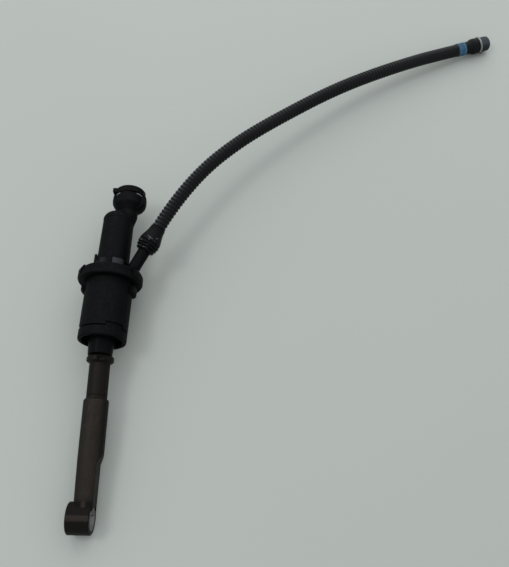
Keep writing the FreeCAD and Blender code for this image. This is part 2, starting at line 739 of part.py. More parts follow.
def side_cut():
    """The shank is cut back on its right side, with a sloping step from the thick part."""
    far = ROD_BODY_R + 5
    outline = Part.makePolygon([
        Vector(ROD_BODY_R + 0.5, rod_y(CUT_START_U - 1), -far),
        Vector(CUT_X, rod_y(CUT_END_U), -far),
        Vector(CUT_X, rod_y(ROD_LENGTH), -far),
        Vector(far, rod_y(ROD_LENGTH), -far),
        Vector(far, rod_y(CUT_START_U - 1), -far),
        Vector(ROD_BODY_R + 0.5, rod_y(CUT_START_U - 1), -far),
    ])
    return Part.Face(outline).extrude(Vector(0, 0, 2 * far))


def eye_bush():
    """Split bush of the pedal pin, slit in turn from each end."""
    length = EYE_LEFT + EYE_RIGHT
    centre = Vector(-EYE_LEFT, rod_y(ROD_LENGTH), 0)
    sleeve = Part.makeCylinder(EYE_SEAT_R, length, centre, Vector(1, 0, 0))
    sleeve = sleeve.cut(Part.makeCylinder(BUSH_PIN_R, length + 2, centre - Vector(1, 0, 0), Vector(1, 0, 0)))
    cuts = []
    for i in range(BUSH_SLIT_COUNT):
        start = centre.x - 1 if i % 2 else centre.x + length * 0.3
        slit = Part.makeBox(length * 0.7 + 1, BUSH_SLIT, EYE_SEAT_R + 1, Vector(start, centre.y - BUSH_SLIT / 2, 0))
        slit.rotate(centre, Vector(1, 0, 0), 25 + i * 360.0 / BUSH_SLIT_COUNT)
        cuts.append(slit)
    return rod_frame(sleeve.cut(Part.makeCompound(cuts)))


def retaining_clip():
    """Wire clip: a bow over the socket with both ends bent in through the side slots."""
    bow = CLIP_R
    y = GROOVE_MIDDLE
    left = OUTLET_X - bow
    right = OUTLET_X + bow
    bend = 1.2
    low = -CLIP_DROP
    path = Part.Wire([
        Part.makeLine(Vector(OUTLET_X - CLIP_TIP, y, low), Vector(left + bend, y, low)),
        Part.Arc(Vector(left + bend, y, low), Vector(left + bend * 0.293, y, low + bend * 0.293),
                 Vector(left, y, low + bend)).toShape(),
        Part.Arc(Vector(left, y, low + bend), Vector(OUTLET_X, y, bow + low + bend),
                 Vector(right, y, low + bend)).toShape(),
        Part.Arc(Vector(right, y, low + bend), Vector(right - bend * 0.293, y, low + bend * 0.293),
                 Vector(right - bend, y, low)).toShape(),
        Part.makeLine(Vector(right - bend, y, low), Vector(OUTLET_X + CLIP_TIP, y, low)),
    ])
    section = Part.Wire(Part.makeCircle(WIRE_R, Vector(OUTLET_X - CLIP_TIP, y, low), Vector(-1, 0, 0)))
    return path.makePipeShell([section], True, False)


def outlet_seal():
    return torus(PIPE_BORE_R + ORING_BED_DEPTH - ORING_WIRE_R - 0.02, ORING_WIRE_R, oring_y(), OUTLET_X)


def inlet_grommet():
    """Rubber ring round the tube in its bed, with a lip on the boss where the collar allows it."""
    inner = TUBE_R + BOOT_FIT
    sleeve = turned([
        (TUBE_START - 0.5, inner),
        (TUBE_START - 0.5, GROMMET_R),
        (BOSS_END + GROMMET_LIP_T, GROMMET_R),
        (BOSS_END + GROMMET_LIP_T, inner),
    ])
    lip = turned([
        (BOSS_END, GROMMET_R - 0.2),
        (BOSS_END, GROMMET_LIP_R),
        (BOSS_END + GROMMET_LIP_T, GROMMET_LIP_R - 0.3),
        (BOSS_END + GROMMET_LIP_T, GROMMET_R - 0.2),
    ])
    placed = [along(ring, INLET_POINT, INLET_DIRECTION) for ring in (sleeve, lip)]
    placed[1] = placed[1].cut(rod(COLLAR_BASE_R, 0, COLLAR_END + 10))
    return fused(placed)


def inlet_tube():
    inner = TUBE_R - TUBE_WALL
    tube = turned([
        (TUBE_START, inner),
        (TUBE_START, TUBE_R),
        (BOOT_END - 2, TUBE_R),
        (BOOT_END, TUBE_R - 0.8),
        (BOOT_END, inner),
    ])
    return along(tube, INLET_POINT, INLET_DIRECTION)


def hose_boot():
    """Rubber boot that grips the tube, with ribs at its lower end and a long taper."""
    inner = TUBE_R + BOOT_FIT
    outline = [(BOOT_START, inner)] + list(BOOT_OUTLINE) + [(BOOT_END, inner)]
    return along(turned(outline), INLET_POINT, INLET_DIRECTION)


def hose_path(points):
    """Straight runs joined by tangent arcs, each as large as its two runs allow."""
    edges = []
    last = points[0]
    radii = []
    for i in range(1, len(points) - 1):
        before = points[i - 1] - points[i]
        after = points[i + 1] - points[i]
        half_turn = (math.pi - before.getAngle(after)) / 2
        reach = 0.45 * min(before.Length, after.Length)
        radii.append(reach / math.tan(half_turn))
        start = points[i] + before.normalize() * reach
        end = points[i] + after.normalize() * reach
        bisector = (before + after).normalize()
        sagitta = radii[-1] * (1 / math.cos(half_turn) - 1)
        edges.append(Part.makeLine(last, start))
        edges.append(Part.Arc(start, points[i] + bisector * sagitta, end).toShape())
        last = end
    edges.append(Part.makeLine(last, points[-1]))
    print("hose radii", [round(r) for r in radii], "least", round(min(radii) / (2 * HOSE_R), 1), "diameters")
    return Part.Wire(edges)


def hose():
    points = [Vector(*p) for p in HOSE_ROUTE]
    path = hose_path(points)
    direction = (points[1] - points[0]).normalize()
    tubes = []
    for radius in (HOSE_R, HOSE_BORE_R):
        section = Part.Wire(Part.makeCircle(radius, points[0], direction))
        tubes.append(path.makePipeShell([section], True, False))
    tube = tubes[0].cut(tubes[1])
    expected = math.pi * (HOSE_R ** 2 - HOSE_BORE_R ** 2) * path.Length
    print("hose length", round(path.Length, 1), "volume ratio", round(tube.Volume / expected, 5))
    return tube


def hose_end():
    points = [Vector(*p) for p in HOSE_ROUTE]
    return points[-1], (points[-1] - points[-2]).normalize()


def hose_tape():
    end, direction = hose_end()
    low = -TAPE_BACK - TAPE_LENGTH
    band = turned([
        (low, HOSE_R + 0.02),
        (low, TAPE_R),
        (-TAPE_BACK, TAPE_R),
        (-TAPE_BACK, HOSE_R + 0.02),
    ])
    return along(band, end, direction)


def hose_cuff():
    """Flared rubber cuff on the end of the hose."""
    end, direction = hose_end()
    inner = PLUG_STEM_R + BOOT_FIT
    cuff = turned([(0, inner)] + list(CUFF_OUTLINE) + [(CUFF_LENGTH, inner)])
    return along(cuff, end, direction)


def crimp_ring():
    end, direction = hose_end()
    ring = turned([
        (CUFF_LENGTH, PLUG_STEM_R + BOOT_FIT),
        (CUFF_LENGTH, CRIMP_R - CRIMP_LIP),
        (CUFF_LENGTH + 0.4, CRIMP_R),
        (CUFF_LENGTH + CRIMP_T - 0.4, CRIMP_R),
        (CUFF_LENGTH + CRIMP_T, CRIMP_R - CRIMP_LIP),
        (CUFF_LENGTH + CRIMP_T, PLUG_STEM_R + BOOT_FIT),
    ])
    return along(ring, end, direction)


def end_plug():
    """Cap that closes the hose end, with a stem inside it and a pull tab."""
    end, direction = hose_end()
    y0 = CUFF_LENGTH + CRIMP_T
    y1 = y0 + PLUG_LENGTH
    cap = turned([
        (y0 - PLUG_STEM_LENGTH, 0),
        (y0 - PLUG_STEM_LENGTH, PLUG_STEM_R - 1),
        (y0 - PLUG_STEM_LENGTH + 1, PLUG_STEM_R),
        (y0, PLUG_STEM_R),
        (y0, PLUG_R),
        (y1 - PLUG_EDGE, PLUG_R),
        (y1 - PLUG_EDGE * 0.3, PLUG_R - PLUG_EDGE * 0.3, y1, PLUG_R - PLUG_EDGE),
        (y1, 0),
    ])
    tab = block(0, PLUG_TAB_REACH, y0, y0 + PLUG_TAB_T, -PLUG_TAB_WIDTH / 2, PLUG_TAB_WIDTH / 2)
    return along(fused([cap, turn(tab, 30)]), end, direction)


def save(name, shape):
    solids = shape.Solids
    solid = solids[0] if len(solids) == 1 else Part.makeCompound(solids)
    low = shape.BoundBox.ZMin
    print(f"{name:18s} solids {len(solids)} valid {shape.isValid()} volume {solid.Volume:9.1f} lowest {low:7.2f}")
    solid.exportStep(f"parts/{name}.step")


PIECES = [
    outer_housing, mouth_ring, stop_ring, pressure_cylinder, secondary_seal, seal_spacer, primary_seal,
    return_spring, spring_seat, plunger, guide_skirt, ball_retainer, ball_collet, push_rod, eye_bush,
    retaining_clip, outlet_seal, inlet_grommet, inlet_tube, hose_boot, hose, hose_tape, hose_cuff,
    crimp_ring, end_plug,
]

os.makedirs("parts", exist_ok=True)
print("rod tilt", round(ROD_TILT, 2), "degrees")
middle = rod_frame(Part.Vertex((EYE_RIGHT - EYE_LEFT) / 2, rod_y(ROD_LENGTH), 0)).Point
print("pin bore", [round(v, 3) for v in middle], "housing ends at", HOUSING_END)
for piece in PIECES:
    save(piece.__name__, piece())
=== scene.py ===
"""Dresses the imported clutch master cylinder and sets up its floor, lamps and camera."""

import math

import bmesh
import bpy
from bpy.props import FloatProperty, FloatVectorProperty, IntProperty, PointerProperty
from mathutils import Matrix, Vector


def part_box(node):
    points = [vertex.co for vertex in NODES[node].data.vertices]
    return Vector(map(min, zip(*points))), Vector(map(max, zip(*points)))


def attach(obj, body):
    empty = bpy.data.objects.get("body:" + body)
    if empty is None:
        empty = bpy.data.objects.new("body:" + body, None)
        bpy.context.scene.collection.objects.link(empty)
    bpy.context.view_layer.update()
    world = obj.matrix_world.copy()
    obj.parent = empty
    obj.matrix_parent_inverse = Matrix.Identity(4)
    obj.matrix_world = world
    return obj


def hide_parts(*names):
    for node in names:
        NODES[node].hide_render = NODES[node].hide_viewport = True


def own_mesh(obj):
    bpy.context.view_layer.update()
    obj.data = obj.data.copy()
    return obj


bl_info = {
    "name": "Clutch master cylinder",
    "version": (1, 0, 0),
    "blender": (4, 5, 0),
    "location": "View3D > Sidebar > Clutch cylinder",
    "description": "Builds the hose, the soft parts and the finishes of a clutch master cylinder",
    "category": "Object",
}

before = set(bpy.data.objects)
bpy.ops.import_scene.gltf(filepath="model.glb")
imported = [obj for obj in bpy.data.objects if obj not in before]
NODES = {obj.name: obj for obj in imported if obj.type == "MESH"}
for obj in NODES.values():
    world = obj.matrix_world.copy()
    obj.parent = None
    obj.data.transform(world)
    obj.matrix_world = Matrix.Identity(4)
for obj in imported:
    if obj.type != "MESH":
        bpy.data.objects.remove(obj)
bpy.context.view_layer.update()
TABLE_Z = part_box("push_rod")[0].z

# Centreline of the reservoir hose, from the boot to the cuff
HOSE_ROUTE = [
    (0.03968, 0.05358, 0.01085),
    (0.0505, 0.0755, 0.0142),
    (0.0777, 0.1172, 0.0164),
    (0.1111, 0.1528, 0.0146),
    (0.1477, 0.1846, 0.0100),
    (0.1965, 0.2236, 0.0036),
    (0.2396, 0.2537, -0.0042),
    (0.2902, 0.2825, -0.0112),
    (0.3289, 0.3014, -0.01705),
    (0.3506, 0.3102, -0.01842),
]
# Steps of the mesh along each rib, and the power that makes its crest broad and its groove narrow
RIB_STEPS = 8
CREST_POWER = 0.55

# Loose end of the tape: its outline's places back from the hose end, and its height on the hose
TAPE_END_PLACES = (0.0054, 0.0052, 0.0034, 0.0032)
TAPE_END_RISE = 0.00055

# Return spring: radius of its wire, and points along a turn and round the wire
SPRING_WIRE_R = 0.00065
SPRING_TURNS = 9
SPRING_STEPS = 32
SPRING_SEGMENTS = 12

# Where a finish, a painted shade or a painted highlight changes, in the part's frame. A box is its
# two corners, and a place on the rod is its distance from the origin along -Y.
ROD_SHOULDER = 0.104
ROD_NECK_END = 0.102
ROD_EYE_BLEND = 0.186
ROD_EYE = 0.187
COLLAR_NOTCH_SHADE = ((-0.001, -0.0727, 0.0), (0.0078, -0.0688, 0.02))
BOOT_RIBS = ((0.02, 0.0315, 0.012), (0.05, 0.042, 0.03))
# Painted highlights on the flat pads of the housing's collar
COLLAR_PAD_HIGHLIGHTS = (
    ((0.0030, 0.0133, 0.0105), (0.0142, 0.0206, 0.0175), (0.052, 0.053, 0.06)),
    ((-0.0089, 0.0133, 0.0115), (-0.0020, 0.0206, 0.0175), (0.030, 0.027, 0.030)),
)
CLIP_DARK_Z = 0.0104

# Directions that a surface faces where it gets a painted highlight
NECK_HIGHLIGHT_DIRECTION = (0, 0.1, 0.995)
EYE_HIGHLIGHT_DIRECTION = (0, -0.1, 0.995)
FLANK_DIRECTION = (-0.68, 0.1, 0.7)

# Colours that no setting holds
DUST = (0.2, 0.195, 0.18, 1)
# Painted highlight on the rib flanks that face the light
FLANK_HIGHLIGHT_COLOUR = (0.05, 0.056, 0.062, 1)
# Painted glints on the boot's lower ribs
GLINT_SPOT_COLOUR = (0.1, 0.103, 0.11, 1)
DARK_WIRE = (0.02, 0.012, 0.011, 1)
SPRING_STEEL = (0.4, 0.4, 0.41)
BLUED_STEEL = (0.03, 0.03, 0.035)
CRIMP_METAL = (0.3, 0.31, 0.31)
CLIP_METAL = (0.42, 0.42, 0.41)
PLUNGER_METAL = (0.55, 0.55, 0.53)
NATURAL_PLASTIC = (0.62, 0.58, 0.48)

# Weave of the tape in radians per metre, and depth of the rubber's grain
THREADS = 9000
RUBBER_GRAIN = 0.00003

# Stage: name, place, size in metres and watts of each lamp
LAMPS = (
    ("key_lamp", (-0.7, -0.02, 1.4), 0.4, 3.5),
    ("back_lamp", (0.3, 1.5, 1.15), 2.4, 13.5),
)
LAMP_AIM = Vector((0.12, 0.05, 0))
FLOOR_HALF = 4.0
SKY_COLOUR = (0.95, 0.98, 1.0, 1)
SKY_STRENGTH = 0.71


def length_setting(name, description, default, low, high):
    return FloatProperty(
        name=name, description=description, default=default, min=low, max=high, unit="LENGTH"
    )


def colour_setting(name, description, default):
    return FloatVectorProperty(
        name=name, description=description, subtype="COLOR", size=3, default=default
    )


class HoseSettings(bpy.types.PropertyGroup):
    outer_radius: length_setting("Hose radius", "Radius over the ribs", 0.0065, 0.003, 0.015)
    rib_pitch: length_setting("Rib pitch", "Distance from rib to rib", 0.0037, 0.001, 0.01)
    rib_depth: length_setting("Rib depth", "How far the grooves go in", 0.00115, 0.0, 0.003)
    fade_start: length_setting("Fade start", "Where the ribs begin to flatten", 0.235, 0, 0.5)
    fade_end: length_setting("Fade end", "Where the hose is smooth", 0.372, 0, 0.5)
    segments: IntProperty(
        name="Segments", description="Points round the hose", default=32, min=8, max=96
    )


class FinishSettings(bpy.types.PropertyGroup):
    body_colour: colour_setting("Body", "Black moulded plastic", (0.0040, 0.0042, 0.0048))
    rod_colour: colour_setting("Rod", "Brown glass-filled plastic", (0.0200, 0.0162, 0.0130))
    bush_colour: colour_setting("Bush", "Pale bush in the eye", (0.28, 0.285, 0.28))
    tape_colour: colour_setting("Tape", "Blue marking tape", (0.018, 0.075, 0.14))
    plug_colour: colour_setting("Plug", "Grey plug in the hose end", (0.05, 0.062, 0.07))
    floor_colour: colour_setting("Floor", "Pale table top", (0.46, 0.49, 0.46))


class CameraSettings(bpy.types.PropertyGroup):
    place: FloatVectorProperty(
        name="Place",
        description="Where the camera stands",
        subtype="TRANSLATION",
        size=3,
        default=(0.14269, -0.25599, 0.57060),
    )
    pitch: FloatProperty(
        name="Pitch", description="How far it looks down", default=1.1387, subtype="ANGLE"
    )
    heading: FloatProperty(
        name="Heading", description="Turn away from +Y", default=-0.0477, subtype="ANGLE"
    )
    roll: FloatProperty(
        name="Roll", description="Turn about the view", default=-0.0054, subtype="ANGLE"
    )
    lens: FloatProperty(
        name="Lens", description="Focal length in millimetres", default=44.258, min=10, max=200
    )


class Value:
    """A number on a socket. An expression on values adds its Math nodes."""

    def __init__(self, shader, socket):
        self.shader = shader
        self.socket = socket

    def math(self, operation, *terms):
        inputs = dict(enumerate(terms))
        return self.shader.value("ShaderNodeMath", {"operation": operation}, inputs)

    def __add__(self, other):
        return self.math("ADD", self, other)

    def __radd__(self, other):
        return self.math("ADD", other, self)

    def __sub__(self, other):
        return self.math("SUBTRACT", self, other)

    def __rsub__(self, other):
        return self.math("SUBTRACT", other, self)

    def __mul__(self, other):
        return self.math("MULTIPLY", self, other)

    def __rmul__(self, other):
        return self.math("MULTIPLY", other, self)

    def __truediv__(self, other):
        return self.math("DIVIDE", self, other)

    def __pow__(self, other):
        return self.math("POWER", self, other)

    def sine(self):
        return self.math("SINE", self)

    def above(self, level, width):
        """0 below the level, 1 above it, with a soft step of that width."""
        return self.shader.value(
            "ShaderNodeMapRange",
            {"interpolation_type": "SMOOTHSTEP"},
            {"Value": self, "From Min": level - width / 2, "From Max": level + width / 2},
        )


class Shader:
    """Node tree of one material."""

    def __init__(self, name):
        self.material = bpy.data.materials.new(name)
        self.material.use_nodes = True
        self.tree = self.material.node_tree
        self.tree.nodes.clear()

    def add(self, kind, settings=None, inputs=None):
        node = self.tree.nodes.new(kind)
        for key, value in (settings or {}).items():
            setattr(node, key, value)
        for key, value in (inputs or {}).items():
            if isinstance(value, Value):
                value = value.socket
            if isinstance(value, bpy.types.NodeSocket):
                self.tree.links.new(value, node.inputs[key])
            else:
                node.inputs[key].default_value = value
        return node

    def value(self, kind, settings=None, inputs=None, output=0):
        return Value(self, self.add(kind, settings, inputs).outputs[output])

    def place(self, scale=(1, 1, 1)):
        """Object coordinates, in metres, stretched by a scale."""
        coordinates = self.add("ShaderNodeTexCoord").outputs["Object"]
        inputs = {"Vector": coordinates, "Scale": scale}
        return self.add("ShaderNodeMapping", None, inputs).outputs[0]

    def axis(self, letter):
        """One object coordinate as a value."""
        coordinates = self.add("ShaderNodeTexCoord").outputs["Object"]
        return self.value("ShaderNodeSeparateXYZ", None, {0: coordinates}, "XYZ".index(letter))

    def facing(self, letter):
        """One part of the object-space normal as a value."""
        normal = self.add("ShaderNodeTexCoord").outputs["Normal"]
        return self.value("ShaderNodeSeparateXYZ", None, {0: normal}, "XYZ".index(letter))

    def toward(self, direction):
        """How far the surface faces a direction, from -1 to 1."""
        normal = self.add("ShaderNodeTexCoord").outputs["Normal"]
        inputs = {0: normal, 1: Vector(direction).normalized()}
        return self.value("ShaderNodeVectorMath", {"operation": "DOT_PRODUCT"}, inputs, "Value")

    def inside(self, low, high, edge=0.0004):
        """1 inside a box in object coordinates and 0 outside it, with soft sides."""
        result = 1.0
        for letter, start, end in zip("XYZ", low, high):
            place = self.axis(letter)
            result = place.above(start, edge) * (1.0 - place.above(end, edge)) * result
        return result

    def noise(self, scale, detail=3.0, stretch=(1, 1, 1), roughness=0.55):
        inputs = {
            "Vector": self.place(stretch),
            "Scale": scale,
            "Detail": detail,
            "Roughness": roughness,
        }
        return self.value("ShaderNodeTexNoise", None, inputs)

    def mix(self, factor, first, second):
        """Colour between two colours, each four numbers or a socket."""
        node = self.add("ShaderNodeMix", {"data_type": "RGBA"}, {0: factor, 6: first, 7: second})
        return node.outputs[2]

    def bump(self, height, distance):
        inputs = {"Height": height, "Distance": distance, "Strength": 1.0}
        return self.add("ShaderNodeBump", None, inputs).outputs[0]

    def finish(self, inputs):
        surface = self.add("ShaderNodeBsdfPrincipled", None, inputs)
        self.add("ShaderNodeOutputMaterial", None, {"Surface": surface.outputs[0]})
        return self.material


def tint(colour, factor):
    """A colour made darker or paler, with full alpha."""
    return tuple(c * factor for c in colour) + (1.0,)


def moulded_plastic(name, colour, gloss=0.46, grain=0.00003, dust=0.02, shine=0.04, pad_highlights=()):
    """Moulded plastic: fine grain, flow marks, a little dust on top and light rubs.

    Its sides get painted shade, darker than its top. Each of the pad highlights is a
    painted highlight on a flat pad that fades towards +X: two corners of its box and its colour.
    """
    shader = Shader(name)
    flow = shader.noise(55, 2.0, (1, 0.35, 1))
    fine = shader.noise(2600, 2.0)
    rub = shader.noise(420, 4.0, (1, 0.06, 1)).above(0.63, 0.1)
    patches = shader.noise(260, 5.0, roughness=0.75)
    settled = (shader.facing("Z") * patches).above(0.52, 0.3) * dust
    base = shader.mix(flow, tint(colour, 0.82), tint(colour, 1.25))
    base = shader.mix(rub * 0.3, base, tint(colour, 2.4))
    # Painted shade: faces turned away from +Z are darker than the top.
    base = shader.mix(shader.facing("Z").above(0.7, 0.7), tint(colour, 0.45), base)
    base = shader.mix(settled, base, DUST)
    # Painted highlights: pale patches on the collar's flat pads, fading towards +X.
    for low, high, highlight_colour in pad_highlights:
        fade = (high[0] - shader.axis("X")) / (high[0] - low[0])
        base = shader.mix(shader.inside(low, high) * fade ** 0.7, base, (*highlight_colour, 1))
    return shader.finish({
        "Base Color": base,
        "Roughness": gloss + 0.1 * flow + 0.16 * rub + 0.3 * settled,
        "Specular IOR Level": shine,
        "Normal": shader.bump(fine + 0.6 * flow, grain),
    })


def fibre_plastic(name, colour):
    """Glass-filled plastic: short pale fibres along the moulding, with mottled gloss.

    The neck and the eye are darker than the shank; its sides and the collar's notch get painted
    shade, and painted highlights run along the top of the neck and across the eye as a band.
    """
    shader = Shader(name)
    fibres = shader.noise(1500, 3.0, (1, 0.09, 1)).above(0.6, 0.14)
    mottle = shader.noise(120, 4.0, roughness=0.65)
    fine = shader.noise(3000, 2.0)
    base = shader.mix(mottle, tint(colour, 0.72), tint(colour, 1.35))
    base = shader.mix(fibres * 0.4, base, tint(colour, 2.4))
    along = shader.axis("Y") * -1.0
    shank = along.above(ROD_SHOULDER, 0.006) - along.above(ROD_EYE_BLEND, 0.012) * 0.6
    base = shader.mix(0.9 - 0.9 * shank, base, tint(colour, 0.3))
    # Painted shade: faces turned away from +Z are darker than the top.
    base = shader.mix(shader.facing("Z").above(0.75, 0.6), tint(colour, 0.2), base)
    # Painted highlight along the top of the neck.
    neck_highlight = shader.toward(NECK_HIGHLIGHT_DIRECTION).above(0.93, 0.12)
    neck_highlight = neck_highlight * (1.0 - along.above(ROD_NECK_END, 0.004))
    base = shader.mix(neck_highlight * 0.8, base, tint(colour, 0.6))
    # Painted shade in the collar's notch.
    notch = shader.inside(*COLLAR_NOTCH_SHADE)
    base = shader.mix(notch * 0.9, base, tint(colour, 0.1))
    eye = along.above(ROD_EYE, 0.003)
    base = shader.mix(eye * 0.8, base, tint(colour, 0.12))
    # Painted highlight: a pale band across the eye where it faces the camera's side.
    band = shader.toward(EYE_HIGHLIGHT_DIRECTION).above(0.985, 0.02) * eye
    base = shader.mix(band, base, tint(colour, 1.15))
    return shader.finish({
        "Base Color": base,
        "Roughness": 0.44 + 0.16 * mottle - 0.08 * fibres,
        "Specular IOR Level": 0.1,
        "Normal": shader.bump(fine * 0.5 + fibres * 0.5, 0.00004),
    })


def ribbed_rubber(name, colour, gloss, shine=0.3, dents=0.0, flank_highlight=0.0):
    """Black rubber or convoluted sleeve with a faint bloom.

    A sleeve with a flank highlight gets painted highlights, paler on the crests that face the
    light.
    Dents break up the glints of the boot's lower ribs, where small pale spots are painted glints.
    """
    shader = Shader(name)
    bloom = shader.noise(90, 4.0, roughness=0.7)
    fine = shader.noise(2200, 3.0)
    dented = shader.noise(430, 2.0)
    base = shader.mix(bloom, tint(colour, 0.75), tint(colour, 1.5))
    # Painted shade: the underside is darker than the top.
    base = shader.mix(shader.facing("Z").above(0.45, 0.9), tint(colour, 0.25), base)
    if flank_highlight:
        # Painted highlights on the flanks of the rib crests that face the light.
        crest = shader.value("ShaderNodeAttribute", {"attribute_name": "crest"}, None, "Fac")
        crest = crest.above(0.6, 0.5)
        flank = shader.toward(FLANK_DIRECTION).above(0.8, 0.4)
        base = shader.mix(flank * crest * flank_highlight, base, FLANK_HIGHLIGHT_COLOUR)
    if dents:
        ribs = shader.inside(*BOOT_RIBS)
        dented = dented * ribs
        # Painted glints: small pale spots on the boot's ribs.
        glint_spots = shader.noise(300, 2.0).above(0.62, 0.05) * ribs
        base = shader.mix(glint_spots, base, GLINT_SPOT_COLOUR)
    return shader.finish({
        "Base Color": base,
        "Roughness": gloss + 0.14 * bloom,
        "Specular IOR Level": shine,
        "Normal": shader.bump(fine + dented * (dents / RUBBER_GRAIN), RUBBER_GRAIN),
    })


def woven_tape(name, colour):
    """Cloth tape: a plain weave with darker gaps between its threads."""
    shader = Shader(name)
    across = (shader.axis("X") * THREADS).sine()
    along = ((shader.axis("Y") + shader.axis("Z")) * THREADS).sine()
    weave = across * along * 0.5 + 0.5
    worn = shader.noise(300, 4.0)
    base = shader.mix(weave, tint(colour, 0.55), tint(colour, 1.3))
    base = shader.mix(worn.above(0.62, 0.1) * 0.5, base, tint(colour, 3.0))
    return shader.finish({
        "Base Color": base,
        "Roughness": 0.6 + 0.15 * worn,
        "Normal": shader.bump(weave, 0.00006),
    })


def bright_metal(name, colour, roughness, scratch_stretch=(1, 1, 1), dark_above=None):
    """Plated or drawn metal: fine scratches and a slight stain, and darker above a height."""
    shader = Shader(name)
    scratch = shader.noise(2400, 3.0, scratch_stretch)
    stain = shader.noise(180, 4.0)
    base = shader.mix(stain.above(0.6, 0.3), tint(colour, 1.0), tint(colour, 0.7))
    if dark_above is not None:
        base = shader.mix(shader.axis("Z").above(dark_above, 0.002), base, DARK_WIRE)
    return shader.finish({
        "Base Color": base,
        "Metallic": 1.0,
        "Roughness": roughness + 0.12 * stain + 0.06 * scratch,
        "Normal": shader.bump(scratch, 0.00001),
    })


def table_top(name, colour):
    """Matt pale sheet with a broad, faint change of tone."""
    shader = Shader(name)
    broad = shader.noise(2.5, 2.0)
    base = shader.mix(broad, tint(colour, 0.97), tint(colour, 1.03))
    return shader.finish({"Base Color": base, "Roughness": 0.55 + 0.05 * broad})


def dress(node, material):
    """Give a node of the solid model its finish."""
    mesh = NODES[node].data
    mesh.materials.clear()
    mesh.materials.append(material)


def new_piece(name, mesh, material, body):
    """Object for a mesh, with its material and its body."""
    piece = bpy.data.objects.new(name, mesh)
    bpy.context.scene.collection.objects.link(piece)
    mesh.materials.append(material)
    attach(piece, body)
    return piece


def tube_mesh(name, path, radius_at, segments, crest_at=None):
    """Tube round a path, closed at both ends.

    radius_at gives the radius at a length along it, crest_at how far that place stands
    out as the crest of a rib.
    """
    rings = []
    lengths = [0.0]
    for a, b in zip(path, path[1:]):
        lengths.append(lengths[-1] + (b - a).length)
    bm = bmesh.new()
    crest = bm.verts.layers.float.new("crest")
    side = None
    for i, point in enumerate(path):
        ahead = path[min(i + 1, len(path) - 1)] - path[max(i - 1, 0)]
        ahead.normalize()
        if side is None:
            side = ahead.orthogonal().normalized()
        side = (side - ahead * side.dot(ahead)).normalized()
        other = ahead.cross(side)
        radius = radius_at(lengths[i], lengths[-1])
        ring = []
        for k in range(segments):
            angle = 2 * math.pi * k / segments
            outward = math.cos(angle) * side + math.sin(angle) * other
            vert = bm.verts.new(point + radius * outward)
            vert[crest] = crest_at(lengths[i]) if crest_at else 0.0
            ring.append(vert)
        rings.append(ring)
    for low, high in zip(rings, rings[1:]):
        for k in range(segments):
            after = (k + 1) % segments
            bm.faces.new((low[k], low[after], high[after], high[k]))
    bm.faces.new(list(reversed(rings[0])))
    bm.faces.new(rings[-1])
    for face in bm.faces:
        face.smooth = True
    mesh = bpy.data.meshes.new(name)
    bm.to_mesh(mesh)
    bm.free()
    return mesh


def spline_points(route, name):
    """Points of the smooth curve that has the route as its control points."""
    curve = bpy.data.curves.new(name, "CURVE")
    curve.dimensions = "3D"
    spline = curve.splines.new("NURBS")
    spline.points.add(len(route) - 1)
    for point, place in zip(spline.points, route):
        point.co = (*place, 1.0)
    spline.order_u = 3
    spline.use_endpoint_u = True
    spline.resolution_u = 40
    line = bpy.data.objects.new(name, curve)
    bpy.context.scene.collection.objects.link(line)
    bpy.context.view_layer.update()
    mesh = bpy.data.meshes.new_from_object(line)
    points = [v.co.copy() for v in mesh.vertices]
    bpy.data.objects.remove(line)
    bpy.data.meshes.remove(mesh)
    return points


def length_of(points):
    return sum((b - a).length for a, b in zip(points, points[1:]))


def evenly(points, step):
    """The same line with points about a step apart."""
    total = length_of(points)
    count = max(2, round(total / step))
    spaced = [points[0].copy()]
    target = total / count
    walked = 0.0
    wanted = target
    for a, b in zip(points, points[1:]):
        run = (b - a).length
        while wanted <= walked + run + 1e-9 and len(spaced) < count:
            spaced.append(a.lerp(b, (wanted - walked) / run))
            wanted += target
        walked += run
    spaced.append(points[-1].copy())
    return spaced


class CLUTCH_OT_camera(bpy.types.Operator):
    """Set the camera at the photograph's viewing angle"""

    bl_idname = "clutch.camera"
    bl_label = "Camera"

    def execute(self, context):
        settings = context.scene.clutch_camera
        data = bpy.data.cameras.new("Camera")
        data.lens = settings.lens
        data.clip_start = 0.01
        data.clip_end = 20
        camera = bpy.data.objects.new("Camera", data)
        context.scene.collection.objects.link(camera)
        turn = Matrix.Rotation(-settings.heading, 4, "Z")
        turn = turn @ Matrix.Rotation(math.pi / 2 - settings.pitch, 4, "X")
        turn = turn @ Matrix.Rotation(settings.roll, 4, "Z")
        camera.matrix_world = Matrix.Translation(settings.place) @ turn
        context.scene.camera = camera
        return {"FINISHED"}


class CLUTCH_OT_hose(bpy.types.Operator):
    """Build the ribbed reservoir hose along its route"""

    bl_idname = "clutch.hose"
    bl_label = "Reservoir hose"

    def execute(self, context):
        settings = context.scene.clutch_hose
        line = spline_points(HOSE_ROUTE, "hose_line")
        path = evenly(line, settings.rib_pitch / RIB_STEPS)

        def wave(s):
            return 0.5 - 0.5 * math.cos(2 * math.pi * s / settings.rib_pitch)

        def left(s, least):
            """Share of the ribs that is left at a length, as they flatten towards the end."""
            share = (settings.fade_end - s) / (settings.fade_end - settings.fade_start)
            return min(1.0, max(least, share))

        def radius_at(s, total):
            depth = settings.rib_depth * left(s, 0.06)
            return settings.outer_radius - depth * (1 - wave(s) ** CREST_POWER)

        def crest_at(s):
            return left(s, 0.1) * wave(s)

        mesh = tube_mesh("ribbed_hose", path, radius_at, settings.segments, crest_at)
        colour = context.scene.clutch_finish.body_colour
        material = ribbed_rubber("hose_rubber", colour, 0.34, 0.14, flank_highlight=0.9)
        hose = new_piece("ribbed_hose", mesh, material, "housing")
        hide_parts("hose")
        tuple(HOSE_ROUTE[0])
        length_of(line)
        [list(p) for p in evenly(line, 0.004)]
        return {"FINISHED"}


